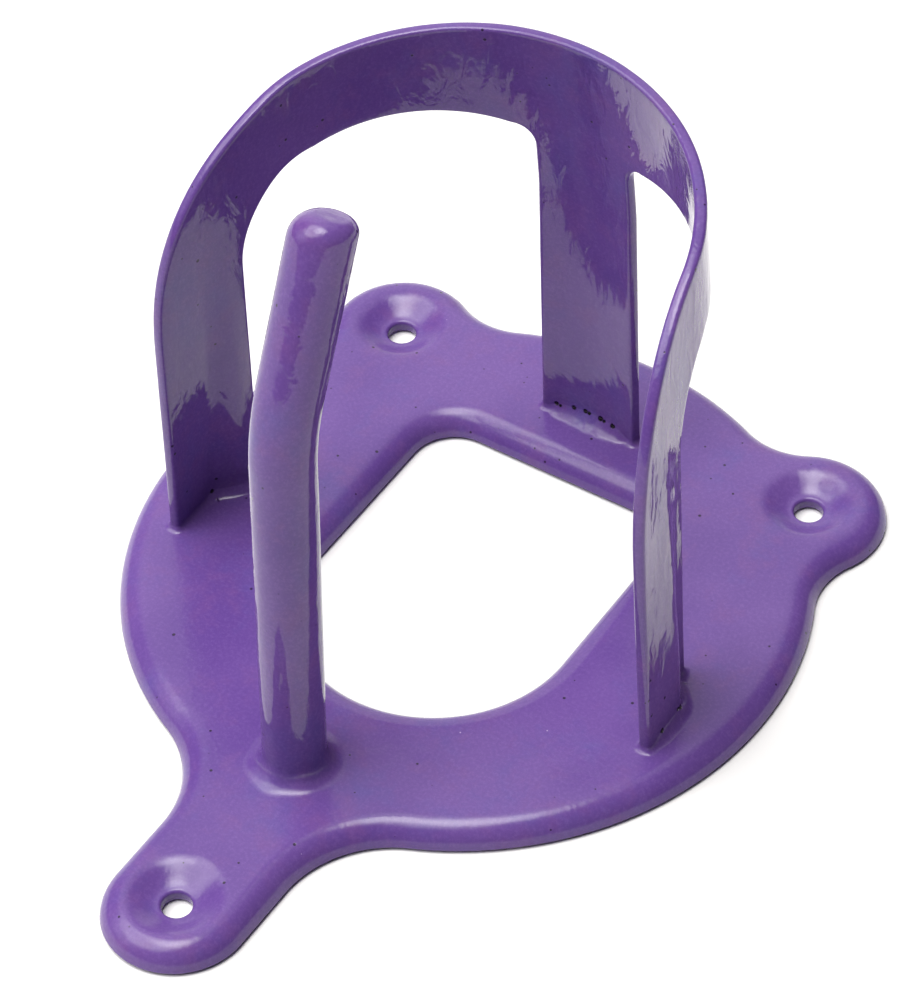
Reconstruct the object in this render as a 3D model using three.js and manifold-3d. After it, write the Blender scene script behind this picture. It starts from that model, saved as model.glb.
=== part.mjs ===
// A bridle bracket for a stable wall, in millimetres, lying on its back: +Z points out of the wall,
// +Y up the wall. A pressed steel plate carries an arch of steel strap and a bent steel bar, all
// welded, and the whole is dipped in purple plastic. The origin is under the middle of the object.
import * as THREE from "three";
import { mergeVertices } from "three/addons/utils/BufferGeometryUtils.js";
import { TessellateModifier } from "three/addons/modifiers/TessellateModifier.js";
import Module from "manifold-3d";

// Layers, counted inwards from the visible surface of the plastic.
const COAT = 0.4;
const GAP = 0.1; // clearance between the plastic and the steel, and between the welded pieces
const PLATE_SHEET = 2.0;
const STRAP_SHEET = 1.6;
const STEEL_DEPTH = COAT + GAP;

// Wall plate: a round disc with two upper ears and one lower ear. Its rim is turned down to the wall.
const PLATE_HEIGHT = 5.6;
const DISC_RADIUS = 74.9;
const UPPER_EAR = { radius: 17.0, reach: 75.9, fillet: 16.4, angle: 44.5 };
const LOWER_EAR = { radius: 15.8, reach: 106.4, fillet: 24.8 };
const PLATE_THICKNESS = PLATE_SHEET + 2 * STEEL_DEPTH;
const OPENING = { halfWidth: 30.8, top: 36.0, cornerRadius: 10.0, arcCentre: -11.3 };
const SCREW_HOLE_RADIUS = 3.2;
const DIMPLE = { innerRadius: 4.2, outerRadius: 10.5, depth: PLATE_HEIGHT - PLATE_THICKNESS };

// Arch: an E-shaped blank rolled to a half round with flared legs. s runs along the strap from the
// crown, z is the height over the wall.
const ARCH = { radius: 54.6, centreY: -3.4, halfLength: 107.0, rimHeight: 116.4, rimFall: 0.0011 };
const CORNER = { start: 63.3, drop: 45.7, power: 2.6 };
const LEAN = { sides: 0.067, crown: 0.077, crownStart: 72.0, power: 1.2, fullY: 30.0 };
const WINDOW = { start: 12.3, end: 83.7, innerCorner: 3.8, outerCorner: 20.6 };
const WINDOW_TOP = { height: 83.6, slope: 0.39, bow: 0.0046 };

// The legs' flare: a short bend outwards at the wall, which fades upwards into an even splay.
// Starts and ends are distances along the strap past the end of its half round.
const FOOT_BEND = { start: 1.5, end: 9.0, width: 5.3 };
const SPLAY = { start: -10.6, straight: -0.6, slope: 0.224, fullHeight: 90.0 };

// Hook bar: straight, one bend, and a rounded tip.
const BAR = { radius: 6.0, footY: -64.9, lean: 3.4, bendHeight: 88.0, bendRadius: 48.0 };
const BAR_TIP = { lean: 25.0, straight: 34.7, rounding: 4.0 };
const BAR_COAT = { extra: 0.25, drip: 1.4 }; // more plastic than elsewhere, round the bar and past its tip

const LEG_BEAD = 1.6; // a fillet weld's width along either face
const BAR_BEAD = 1.7;
const BEAD_ROOT = 1.0; // how far a bead's section reaches behind the faces it joins
const CHORD_ERROR = 0.3; // how far a straight facet may lie inside its arc
const BEND_STEPS = 5;
const FAR = 200;

const wasm = await Module();
wasm.setup();

function solidOf(geometry) {
  const bare = geometry.clone();
  bare.deleteAttribute("normal");
  bare.deleteAttribute("uv");
  const merged = mergeVertices(bare, 1e-3);
  const triVerts = new Uint32Array(merged.index.array);
  const vertProperties = merged.attributes.position.array;
  return new wasm.Manifold(new wasm.Mesh({ numProp: 3, vertProperties, triVerts }));
}

function geometryOf(solid) {
  const mesh = solid.getMesh();
  const geometry = new THREE.BufferGeometry();
  geometry.setAttribute("position", new THREE.BufferAttribute(mesh.vertProperties, 3));
  geometry.setIndex(new THREE.BufferAttribute(mesh.triVerts, 1));
  return geometry;
}

function mapPoints(geometry, place) {
  const position = geometry.attributes.position;
  const point = new THREE.Vector3();
  for (let i = 0; i < position.count; i++) {
    point.fromBufferAttribute(position, i);
    const moved = place(point);
    position.setXYZ(i, moved.x, moved.y, moved.z);
  }
  return geometry;
}

const join = (solids) => solids.reduce((all, solid) => all.add(solid));
const degrees = THREE.MathUtils.degToRad;

// Everything between two heights.
function slab(low, high) {
  const box = new THREE.BoxGeometry(2 * FAR, 2 * FAR, high - low);
  return solidOf(box.translate(0, 0, (low + high) / 2));
}

function upright(radius, low, high, x, y) {
  const cylinder = new THREE.CylinderGeometry(radius, radius, high - low, 16);
  return solidOf(cylinder.rotateX(Math.PI / 2).translate(x, y, (low + high) / 2));
}

// --- Wall plate -------------------------------------------------------------------------------

// A run of points along an arc, as many as its radius needs.
function arcPoints(centre, radius, from, to) {
  const step = 2 * Math.acos(1 - CHORD_ERROR / radius);
  const count = Math.max(1, Math.ceil(Math.abs(to - from) / step));
  return Array.from({ length: count + 1 }, (_, i) => {
    const angle = from + ((to - from) * i) / count;
    return new THREE.Vector2(
      centre.x + radius * Math.cos(angle),
      centre.y + radius * Math.sin(angle),
    );
  });
}

const polar = (length, angle) => new THREE.Vector2(length * Math.cos(angle), length * Math.sin(angle));

// The ears in counterclockwise order, each with its direction and the centre of its fillets, which
// lies along that direction and as far across it on both sides. A long ear is a tongue with
// straight sides, and its fillets meet the sides short of the round end.
const ears = [
  { ...LOWER_EAR, direction: degrees(-90) },
  { ...UPPER_EAR, direction: degrees(90 - UPPER_EAR.angle) },
  { ...UPPER_EAR, direction: degrees(90 + UPPER_EAR.angle) },
].map((ear) => {
  const fromDisc = DISC_RADIUS + ear.fillet;
  const fromEar = ear.radius + ear.fillet;
  const onTongue = Math.sqrt(fromDisc ** 2 - fromEar ** 2);
  const onCircle = (fromDisc ** 2 - fromEar ** 2 + ear.reach ** 2) / (2 * ear.reach);
  const along = onTongue < ear.reach ? onTongue : onCircle;
  const across = onTongue < ear.reach ? fromEar : Math.sqrt(fromDisc ** 2 - along ** 2);
  const discAngle = Math.atan2(across, along);
  const earAngle = Math.atan2(across, Math.max(along - ear.reach, 0));
  return { ...ear, centre: polar(ear.reach, ear.direction), fromDisc, discAngle, earAngle };
});

// The plate's outline, moved inwards by inset.
function plateOutline(inset) {
  const points = ears.flatMap((ear, i) => {
    const { direction, discAngle, earAngle } = ear;
    const next = ears[(i + 1) % ears.length];
    const turn = i === ears.length - 1 ? 2 * Math.PI : 0;
    const filletRadius = ear.fillet + inset;
    const before = polar(ear.fromDisc, direction - discAngle);
    const after = polar(ear.fromDisc, direction + discAngle);
    const back = direction + Math.PI;
    const discEnd = next.direction + turn - next.discAngle;
    return [
      ...arcPoints(before, filletRadius, back - discAngle, back - earAngle),
      ...arcPoints(ear.centre, ear.radius - inset, direction - earAngle, direction + earAngle),
      ...arcPoints(after, filletRadius, back + earAngle, back + discAngle),
      ...arcPoints(new THREE.Vector2(), DISC_RADIUS - inset, direction + discAngle, discEnd).slice(1, -1),
    ];
  });
  return points.filter((point, i) => point.distanceTo(points[(i + 1) % points.length]) > 0.05);
}

// The opening's outline, moved outwards by outset: straight sides, a half-round foot and two corners.
function openingOutline(outset) {
  const halfWidth = OPENING.halfWidth + outset;
  const corner = OPENING.cornerRadius + outset;
  const foot = new THREE.Vector2(0, OPENING.arcCentre);
  const right = new THREE.Vector2(halfWidth - corner, OPENING.top + outset - corner);
  const left = new THREE.Vector2(-right.x, right.y);
  return [
    ...arcPoints(foot, halfWidth, Math.PI, 2 * Math.PI),
    ...arcPoints(right, corner, 0, Math.PI / 2),
    ...arcPoints(left, corner, Math.PI / 2, Math.PI),
  ];
}

// The pressed plate as a full pillow whose skin lies depth below the plastic's surface: flat on top,
// a quarter round down to the wall at the rim and the opening, with a dimple round each screw hole.
function pillow(depth) {
  const round = PLATE_HEIGHT - depth;
  const blank = new THREE.Shape(plateOutline(PLATE_HEIGHT));
  blank.holes.push(new THREE.Path(openingOutline(PLATE_HEIGHT)));
  const pressed = new THREE.ExtrudeGeometry(blank, {
    depth: 1,
    bevelThickness: round,
    bevelSize: round,
    bevelSegments: 3,
  });
  const profile = dimpleProfile(round);
  const dimples = ears.map(({ centre }) => {
    const dimple = new THREE.LatheGeometry(profile, 16);
    return solidOf(dimple.rotateX(Math.PI / 2).translate(centre.x, centre.y, 0));
  });
  return solidOf(pressed.translate(0, 0, -1)).subtract(join(dimples)).subtract(slab(-FAR, 0));
}

// What a dimple takes out of a skin at the given height: radius against height, closed on the axis.
function dimpleProfile(height) {
  const { innerRadius, outerRadius, depth } = DIMPLE;
  const slope = [0, 1].map((share) => {
    const fall = depth * (1 - share);
    return new THREE.Vector2(innerRadius + (outerRadius - innerRadius) * share, height - fall);
  });
  const over = 2 * PLATE_HEIGHT;
  return [
    new THREE.Vector2(0, height - depth),
    ...slope,
    new THREE.Vector2(outerRadius, over),
    new THREE.Vector2(0, over),
  ];
}

const screwHoles = (radius) => join(ears.map(({ centre }) => upright(radius, -1, FAR, centre.x, centre.y)));

// --- Arch -------------------------------------------------------------------------------------

const ARC_END = (ARCH.radius * Math.PI) / 2;

// How far a leg flares outwards, at a distance past the end of the half round and a height.
function legFlare(past, z) {
  const bend = FOOT_BEND.width * THREE.MathUtils.smoothstep(past, FOOT_BEND.start, FOOT_BEND.end);
  const easing = SPLAY.straight - SPLAY.start;
  const eased = THREE.MathUtils.clamp(past - SPLAY.start, 0, easing);
  const splay = SPLAY.slope * (eased ** 2 / (2 * easing) + Math.max(past - SPLAY.straight, 0));
  return THREE.MathUtils.lerp(bend, splay, THREE.MathUtils.smoothstep(z, 0, SPLAY.fullHeight));
}

// A point of the rolled strap: s along it, z over the wall, and inwards from its middle surface.
function rolled(s, z, inwards) {
  const at = (length) => {
    const side = Math.sign(length);
    const reach = Math.abs(length);
    const angle = Math.min(reach, ARC_END) / ARCH.radius;
    const height = z / ARCH.rimHeight;
    const flare = legFlare(reach - ARC_END, z);
    const x = ARCH.radius * Math.sin(angle) * (1 - LEAN.sides * height) + flare;
    const y = ARCH.centreY + ARCH.radius * Math.cos(angle) - Math.max(reach - ARC_END, 0);
    const upper = Math.max(z - LEAN.crownStart, 0) / (ARCH.rimHeight - LEAN.crownStart);
    const crownShare = THREE.MathUtils.smoothstep(y, 0, LEAN.fullY);
    return new THREE.Vector3(side * x, y * (1 - LEAN.crown * upper ** LEAN.power * crownShare), z);
  };
  const step = 0.5;
  const along = at(s + step).sub(at(s - step)).normalize();
  const inward = new THREE.Vector3(along.y, -along.x, 0);
  return at(s).addScaledVector(inward, inwards);
}

// Rolls a flat piece: its x runs along the strap, y is the height over the wall, z points inwards.
const roll = (geometry) => mapPoints(geometry, ({ x, y, z }) => rolled(x, y, z));

// The strap's columns are close together where it bends most.
function columns() {
  const half = [];
  const bendStart = ARC_END + FOOT_BEND.start;
  const bendEnd = ARC_END + FOOT_BEND.end;
  for (let i = 0; i < 16; i++) half.push((bendStart * i) / 16);
  for (let i = 0; i < 4; i++) half.push(THREE.MathUtils.lerp(bendStart, bendEnd, i / 4));
  half.push(bendEnd, ARCH.halfLength + 2);
  return [...half.slice(1).reverse().map((s) => -s), ...half];
}

// The whole strap before its outline is cut: a sheet between two skins, from a height upwards.
function sheet(halfThickness, low) {
  const along = columns();
  const heights = [low, 10, 26, 48, 72, 92, ARCH.rimHeight + 3];
  const box = new THREE.BoxGeometry(1, 1, 1, along.length - 1, heights.length - 1, 1);
  mapPoints(box, ({ x, y, z }) => {
    const column = Math.round((x + 0.5) * (along.length - 1));
    const row = Math.round((y + 0.5) * (heights.length - 1));
    return new THREE.Vector3(along[column], heights[row], 2 * z * halfThickness);
  });
  return solidOf(roll(box));
}

// A tool that cuts square through the rolled strap, from a flat outline.
function cutter(points) {
  const flat = new THREE.ExtrudeGeometry(new THREE.Shape(points), { depth: 8, bevelEnabled: false });
  const fine = new TessellateModifier(12, 24).modify(flat.translate(0, 0, -4));
  return solidOf(roll(fine));
}

// The blank's outline, moved inwards by inset: a slightly falling rim and two big front corners.
function archOutline(inset) {
  const steps = 8;
  const width = ARCH.halfLength - CORNER.start - inset;
  const rim = (s) => ARCH.rimHeight - inset - ARCH.rimFall * s ** 2;
  const half = [];
  for (let i = 0; i < 10; i++) {
    const s = (CORNER.start * i) / 10;
    half.push(new THREE.Vector2(s, rim(s)));
  }
  for (let i = 0; i <= steps; i++) {
    const angle = (Math.PI * i) / (2 * steps);
    const s = CORNER.start + width * Math.sin(angle) ** (2 / CORNER.power);
    const drop = CORNER.drop * (1 - Math.cos(angle) ** (2 / CORNER.power));
    half.push(new THREE.Vector2(s, rim(s) - drop));
  }
  half.push(new THREE.Vector2(ARCH.halfLength - inset, -5));
  const mirrored = half.slice(1).reverse().map(({ x, y }) => new THREE.Vector2(-x, y));
  return [...mirrored, ...half];
}

// One window between two legs, grown by outset: an arched top, a small and a large corner.
function windowOutline(side, outset) {
  const top = (s) => WINDOW_TOP.height + WINDOW_TOP.slope * s - WINDOW_TOP.bow * s ** 2 + outset;
  const start = WINDOW.start - outset;
  const end = WINDOW.end + outset;
  const inner = new THREE.Vector2(WINDOW.start + WINDOW.innerCorner, 0);
  const outer = new THREE.Vector2(WINDOW.end - WINDOW.outerCorner, 0);
  const innerRadius = WINDOW.innerCorner + outset;
  const outerRadius = WINDOW.outerCorner + outset;
  inner.y = top(inner.x) - innerRadius;
  outer.y = top(outer.x) - outerRadius;
  const crown = [];
  for (let i = 1; i < 8; i++) {
    const s = THREE.MathUtils.lerp(inner.x, outer.x, i / 8);
    crown.push(new THREE.Vector2(s, top(s)));
  }
  const points = [
    new THREE.Vector2(start, -5),
    ...arcPoints(inner, innerRadius, Math.PI, Math.PI / 2),
    ...crown,
    ...arcPoints(outer, outerRadius, Math.PI / 2, 0),
    new THREE.Vector2(end, -5),
  ];
  return points.map(({ x, y }) => new THREE.Vector2(side * x, y));
}

// The strap's body, grown on every side from its steel.
function strapBody(grow, low) {
  const inset = STEEL_DEPTH - grow;
  const windows = [-1, 1].map((side) => cutter(windowOutline(side, inset)));
  return sheet(STRAP_SHEET / 2 + grow, low)
    .intersect(cutter(archOutline(inset)))
    .subtract(join(windows));
}

// --- Welds ------------------------------------------------------------------------------------

const STEEL_TOP = PLATE_HEIGHT - STEEL_DEPTH;
const LEG_BEADS = {
  weld_left_leg_inside: { from: -104, to: -87, inwards: 1 },
  weld_left_leg_outside: { from: -104, to: -87, inwards: -1 },
  weld_centre_leg_inside: { from: -9, to: 9, inwards: 1 },
  weld_right_leg_inside: { from: 87, to: 104, inwards: 1 },
  weld_right_leg_outside: { from: 87, to: 104, inwards: -1 },
};

// The section of a bead in the corner between the plate and a face that stands on it.
function beadSection(leg) {
  return [
    new THREE.Vector2(-BEAD_ROOT, -BEAD_ROOT),
    new THREE.Vector2(leg, -BEAD_ROOT),
    new THREE.Vector2(leg, 0),
    new THREE.Vector2(0, leg),
    new THREE.Vector2(-BEAD_ROOT, leg),
  ];
}

function legBead({ from, to, inwards }, grow) {
  const length = to - from + 2 * grow;
  const bead = new THREE.ExtrudeGeometry(new THREE.Shape(beadSection(LEG_BEAD + grow)), {
    depth: length,
    steps: 6,
    bevelEnabled: false,
  });
  bead.translate(0, 0, -length / 2).rotateY((-inwards * Math.PI) / 2);
  bead.translate((from + to) / 2, STEEL_TOP, (inwards * STRAP_SHEET) / 2);
  return solidOf(roll(bead));
}

function barBead(grow) {
  const section = beadSection(BAR_BEAD + grow).map(({ x, y }) => new THREE.Vector2(x + BAR.radius, y));
  const ring = new THREE.LatheGeometry([...section, section[0]], 20);
  return solidOf(ring.rotateX(Math.PI / 2).translate(0, BAR.footY, STEEL_TOP));
}

// --- Hook bar ---------------------------------------------------------------------------------

// Distances along the bar's middle line: where its bend starts and ends, and the steel's tip.
const BEND_START = BAR.bendHeight / Math.cos(degrees(BAR.lean));
const BEND_END = BEND_START + BAR.bendRadius * degrees(BAR_TIP.lean - BAR.lean);
const BAR_LENGTH = BEND_END + BAR_TIP.straight;

// The bar's middle line in the plane x = 0, as a straight, an arc and a straight.
function barPoint(length) {
  const lean = degrees(BAR.lean);
  const first = Math.min(length, BEND_START);
  const bent = THREE.MathUtils.clamp(length - BEND_START, 0, BEND_END - BEND_START);
  const last = Math.max(length - BEND_END, 0);
  const angle = lean + bent / BAR.bendRadius;
  const bendY = BAR.bendRadius * (Math.cos(lean) - Math.cos(angle));
  const bendZ = BAR.bendRadius * (Math.sin(angle) - Math.sin(lean));
  return {
    y: BAR.footY + first * Math.sin(lean) + bendY + last * Math.sin(angle),
    z: first * Math.cos(lean) + bendZ + last * Math.cos(angle),
    angle,
  };
}

// The bar's body, grown from its steel and reaching past its tip: turned straight, then bent.
function barBody(grow, past, low) {
  const radius = BAR.radius + grow;
  const end = BAR_LENGTH + past;
  const rounding = BAR_TIP.rounding + grow;
  const profile = [new THREE.Vector2(0, 0), new THREE.Vector2(radius, 0)];
  profile.push(new THREE.Vector2(radius, BEND_START / 2));
  for (let i = 0; i <= BEND_STEPS; i++) {
    profile.push(new THREE.Vector2(radius, THREE.MathUtils.lerp(BEND_START, BEND_END, i / BEND_STEPS)));
  }
  const corner = new THREE.Vector2(radius - rounding, end - rounding);
  profile.push(...arcPoints(corner, rounding, 0, Math.PI / 2), new THREE.Vector2(0, end));
  const turned = new THREE.LatheGeometry(profile, 16).rotateX(Math.PI / 2);
  mapPoints(turned, ({ x, y, z }) => {
    const { y: lineY, z: lineZ, angle } = barPoint(z);
    return new THREE.Vector3(x, lineY + y * Math.cos(angle), lineZ - y * Math.sin(angle));
  });
  return solidOf(turned).subtract(slab(-FAR, low));
}

// --- The pieces -------------------------------------------------------------------------------

const legBeads = (grow) => Object.values(LEG_BEADS).map((bead) => legBead(bead, grow));
const archSkin = (grow, low) => join([strapBody(grow, low), ...legBeads(grow)]);
const barRoom = (low) => join([barBody(GAP, GAP, low), barBead(GAP)]);
const barSkin = join([
  barBody(STEEL_DEPTH + BAR_COAT.extra, STEEL_DEPTH + BAR_COAT.drip, 2),
  barBead(STEEL_DEPTH),
]);

const plateSteel = pillow(STEEL_DEPTH)
  .subtract(pillow(STEEL_DEPTH + PLATE_SHEET))
  .subtract(slab(-1, STEEL_DEPTH))
  .subtract(screwHoles(SCREW_HOLE_RADIUS + STEEL_DEPTH));

// The room for the plate's steel inside the plastic, and the windows where legs and bar pass through.
const plateRoom = pillow(COAT)
  .subtract(pillow(PLATE_THICKNESS - COAT))
  .subtract(slab(-1, COAT))
  .subtract(screwHoles(SCREW_HOLE_RADIUS + COAT));
const footRoom = join([archSkin(GAP, STEEL_TOP - GAP / 2), barRoom(STEEL_TOP - GAP / 2)])
  .subtract(slab(-FAR, STEEL_TOP - GAP / 2));
const plateCoat = pillow(0)
  .subtract(pillow(PLATE_THICKNESS))
  .subtract(screwHoles(SCREW_HOLE_RADIUS))
  .subtract(plateRoom)
  .subtract(footRoom);

const underCoats = slab(-FAR, PLATE_HEIGHT + GAP);
const archCoat = archSkin(STEEL_DEPTH, 2).subtract(archSkin(GAP, 1)).subtract(underCoats);
const barCoat = barSkin.subtract(barRoom(1)).subtract(underCoats);

// The beads of steel stand clear of the strap and of the plate.
const beadRoom = sheet(STRAP_SHEET / 2 + GAP, 0).add(slab(-FAR, STEEL_TOP + GAP));

const plastic = { color: 0x6b45a0, roughness: 0.3, metalness: 0.0 };
const steel = { color: 0x8d9094, roughness: 0.5, metalness: 0.9 };
const bracket = new THREE.Group();

function addPiece(name, solid, look) {
  const mesh = new THREE.Mesh(geometryOf(solid), new THREE.MeshStandardMaterial(look));
  mesh.name = name;
  bracket.add(mesh);
}

addPiece("back_plate", plateSteel, steel);
addPiece("arch_strap", strapBody(0, STEEL_TOP + GAP), steel);
addPiece("hook_bar", barBody(0, 0, STEEL_TOP + GAP), steel);
for (const [name, bead] of Object.entries(LEG_BEADS)) {
  addPiece(name, legBead(bead, 0).subtract(beadRoom), steel);
}
addPiece("weld_hook_bar", barBead(0).subtract(barBody(GAP, GAP, 0)).subtract(beadRoom), steel);
addPiece("plate_coating", plateCoat, plastic);
addPiece("arch_coating", archCoat, plastic);
addPiece("hook_coating", barCoat, plastic);

// The plate is longer below the disc's centre than above it.
bracket.position.y = (LOWER_EAR.reach + LOWER_EAR.radius - DISC_RADIUS) / 2;

export default bracket;
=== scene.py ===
"""Looks of a plastic-dipped bridle bracket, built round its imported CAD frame."""
import math

import bpy
import numpy as np
from mathutils import Matrix, Vector, noise
from mathutils.geometry import delaunay_2d_cdt


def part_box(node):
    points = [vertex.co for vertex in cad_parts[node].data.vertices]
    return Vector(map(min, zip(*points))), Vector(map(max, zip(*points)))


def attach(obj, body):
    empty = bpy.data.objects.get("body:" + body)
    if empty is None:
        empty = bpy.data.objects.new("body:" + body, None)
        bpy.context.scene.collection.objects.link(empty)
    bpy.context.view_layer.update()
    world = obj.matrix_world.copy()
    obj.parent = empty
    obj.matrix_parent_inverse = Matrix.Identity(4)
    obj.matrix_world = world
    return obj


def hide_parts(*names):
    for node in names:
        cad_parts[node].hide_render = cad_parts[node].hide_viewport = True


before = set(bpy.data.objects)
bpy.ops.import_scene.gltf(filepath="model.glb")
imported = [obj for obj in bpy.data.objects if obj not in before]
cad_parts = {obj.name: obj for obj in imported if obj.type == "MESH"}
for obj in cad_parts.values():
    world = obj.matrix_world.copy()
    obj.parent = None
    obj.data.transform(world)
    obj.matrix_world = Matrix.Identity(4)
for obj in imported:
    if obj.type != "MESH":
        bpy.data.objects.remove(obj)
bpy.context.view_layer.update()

MM = 0.001

# --- Dimensions in millimetres ------------------------------------------------------------------
# They repeat the CAD source, apart from the few that say otherwise. The origin is the centre of the
# plate's disc on the wall plane.

PLATE_TOP = 5.6
PLATE_THICKNESS = 3.0
DISC_RADIUS = 74.9
UPPER_EAR = dict(radius=17.0, reach=75.9, fillet=16.4)
UPPER_EAR_ANGLE = 44.5
LOWER_EAR = dict(radius=15.8, reach=106.4, fillet=24.8)
OPENING = dict(half_width=30.8, top=36.0, corner=10.0, arc_centre=-11.3)
HOLE_RADIUS = 3.2
DIMPLE = dict(inner=4.2, outer=10.5, depth=2.6, straight=0.55)

ARCH_RADIUS, ARCH_CENTRE_Y = 54.6, -3.4
ARCH_HALF_LENGTH, RIM_HEIGHT, RIM_FALL = 107.0, 116.4, 0.0011
CORNER = dict(start=63.3, drop=45.7, power=2.6)
LEAN = dict(sides=0.067, crown=0.077, crown_start=72.0, power=1.2, full_y=30.0)
# The plastic fills the windows' small corners a little more than the steel does.
WINDOW = dict(start=12.3, end=83.7, inner_corner=5.2, outer_corner=20.6)
WINDOW_TOP = dict(height=83.6, slope=0.39, bow=0.0046)
FOOT_BEND = dict(start=1.5, end=9.0, width=5.3)
SPLAY = dict(start=-10.6, straight=-0.6, slope=0.224, full_height=90.0)
STRAP_HALF = 1.3
STRAP_EDGE = 1.0  # how far the rounding of the strap's edges reaches over its faces
ARC_END = ARCH_RADIUS * math.pi / 2

# The bar's radius and length are those of its plastic.
BAR = dict(radius=6.75, foot_y=-64.9, lean=3.4, bend_height=88.0, bend_radius=48.0)
BAR_TIP = dict(lean=25.0, straight=36.6, rounding=4.2, uneven=1.7, sharp_side=0.62, slope=0.05)
BAR_FOOT = dict(width=3.9, height=4.4, end=9.0)

plate_low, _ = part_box("plate_coating")
DISC_Y = plate_low.y / MM + LOWER_EAR["reach"] + LOWER_EAR["radius"]


def smoothstep(value, low, high):
    """0 below low, 1 above high, and an eased change between them."""
    share = np.clip((value - low) / (high - low), 0, 1)
    return share * share * (3 - 2 * share)


def ripple(points, size, seed):
    """Smooth noise from -1 to 1 at points in millimetres, with lumps of about the given size."""
    offset = Vector((seed * 17.3, seed * 5.1, seed * 9.7))
    scaled = np.asarray(points, float) / size
    return np.array([noise.noise(Vector(p) + offset) for p in scaled])


# The unevenness of the plastic is a coarse and a fine set of waves on each piece. Places are
# multiplied by along before the noise is read, so a small factor draws the waves out that way.
PLATE_WAVES = (
    dict(height=0.10, size=31, seed=1, along=(1, 1, 1)),
    dict(height=0.035, size=11, seed=2, along=(1, 1, 1)),
)
STRAP_WAVES = (
    dict(height=0.12, size=13, seed=3, along=(1, 0.35, 1)),
    dict(height=0.04, size=4.5, seed=4, along=(1, 0.5, 1)),
)
BAR_WAVES = (
    dict(height=0.05, size=9, seed=5, along=(1, 1, 0.3)),
    dict(height=0.02, size=3.5, seed=6, along=(1, 1, 0.3)),
)
FACES_APART = 40.0  # the strap's inner and outer face read their waves this far to either side


def waves(points, parts):
    """How far the plastic stands out at points in millimetres."""
    return sum(p["height"] * ripple(points * np.array(p["along"]), p["size"], p["seed"]) for p in parts)


# --- Outlines and meshes ------------------------------------------------------------------------


def arc(centre, radius, start, end, spacing=0.2):
    count = max(2, math.ceil(abs(end - start) * radius / spacing))
    angles = np.linspace(start, end, count + 1)
    return np.stack([centre[0] + radius * np.cos(angles), centre[1] + radius * np.sin(angles)], 1)


def resample(points, spacing, closed=False):
    """The same line with its points spread evenly, about spacing apart."""
    line = np.vstack([points, points[:1]]) if closed else np.asarray(points)
    along = np.concatenate([[0], np.cumsum(np.linalg.norm(np.diff(line, axis=0), axis=1))])
    keep = np.concatenate([[True], np.diff(along) > 1e-6])
    line, along = line[keep], along[keep]
    count = max(2, round(along[-1] / spacing))
    at = np.linspace(0, along[-1], count + 1)
    if closed:
        at = at[:-1]
    return np.stack([np.interp(at, along, line[:, i]) for i in range(line.shape[1])], 1)


def left_normals(points, closed=False):
    """Unit vectors to the left of the line's direction."""
    if closed:
        along = np.roll(points, -1, 0) - np.roll(points, 1, 0)
    else:
        along = np.gradient(points, axis=0)
    along /= np.linalg.norm(along, axis=1, keepdims=True)
    return np.stack([-along[:, 1], along[:, 0]], 1)


def inside(points, loops):
    """Whether each point lies inside the loops, counting crossings of all of them together."""
    result = np.zeros(len(points), bool)
    x, y = points[:, 0], points[:, 1]
    for loop in loops:
        following = np.roll(loop, -1, 0)
        for (x1, y1), (x2, y2) in zip(loop, following):
            if y1 == y2:
                continue
            crosses = (y1 > y) != (y2 > y)
            result ^= crosses & (x < (x2 - x1) * (y - y1) / (y2 - y1) + x1)
    return result


def fill(loops, spacing):
    """Fills the region between flat loops with even squares, and triangles along its edges.

    Returns points, the loops' own first, and faces that turn counterclockwise."""
    rim = np.vstack(loops)
    low, high = rim.min(0), rim.max(0)
    columns, rows = (np.ceil((high - low) / spacing)).astype(int) + 1
    middle = (low + high) / 2
    grid_x = middle[0] + (np.arange(columns) - (columns - 1) / 2) * spacing
    grid_y = middle[1] + (np.arange(rows) - (rows - 1) / 2) * spacing
    nodes = np.stack(np.meshgrid(grid_x, grid_y, indexing="ij"), -1).reshape(-1, 2)
    good = inside(nodes, loops)
    for index in np.flatnonzero(good):
        nearest = ((rim - nodes[index]) ** 2).sum(1).min()
        good[index] = nearest > (0.75 * spacing) ** 2
    good = good.reshape(columns, rows)
    cells = good[:-1, :-1] & good[1:, :-1] & good[:-1, 1:] & good[1:, 1:]
    number = np.full((columns, rows), -1)
    number[good] = len(rim) + np.arange(good.sum())
    points = np.vstack([rim, nodes.reshape(columns, rows, 2)[good]])
    faces, edges = [], {}
    for i, j in zip(*np.nonzero(cells)):
        square = [number[i, j], number[i + 1, j], number[i + 1, j + 1], number[i, j + 1]]
        faces.append([int(v) for v in square])
        for a, b in zip(square, square[1:] + square[:1]):
            key = (int(min(a, b)), int(max(a, b)))
            edges[key] = edges.get(key, 0) + 1
    fixed = [edge for edge, count in edges.items() if count == 1]
    start = 0
    for loop in loops:
        size = len(loop)
        fixed += [(start + k, start + (k + 1) % size) for k in range(size)]
        start += size
    coords = [Vector(p) for p in points]
    _, _, triangles, sources, _, _ = delaunay_2d_cdt(coords, fixed, [], 0, 1e-7)
    triangles = np.array([[sources[v][0] for v in t] for t in triangles])
    centres = points[triangles].mean(1)
    cell = np.floor((centres - [grid_x[0], grid_y[0]]) / spacing).astype(int)
    cell = np.clip(cell, 0, [columns - 2, rows - 2])
    wanted = inside(centres, loops) & ~cells[cell[:, 0], cell[:, 1]]
    faces += [[int(v) for v in t] for t in triangles[wanted]]
    return points, faces


def strip(first, second, closed=False):
    """Quads between two rows of vertex numbers."""
    pairs = list(zip(first, first[1:], second[1:], second))
    if closed:
        pairs.append((first[-1], first[0], second[0], second[-1]))
    return [list(map(int, quad)) for quad in pairs]


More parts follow.
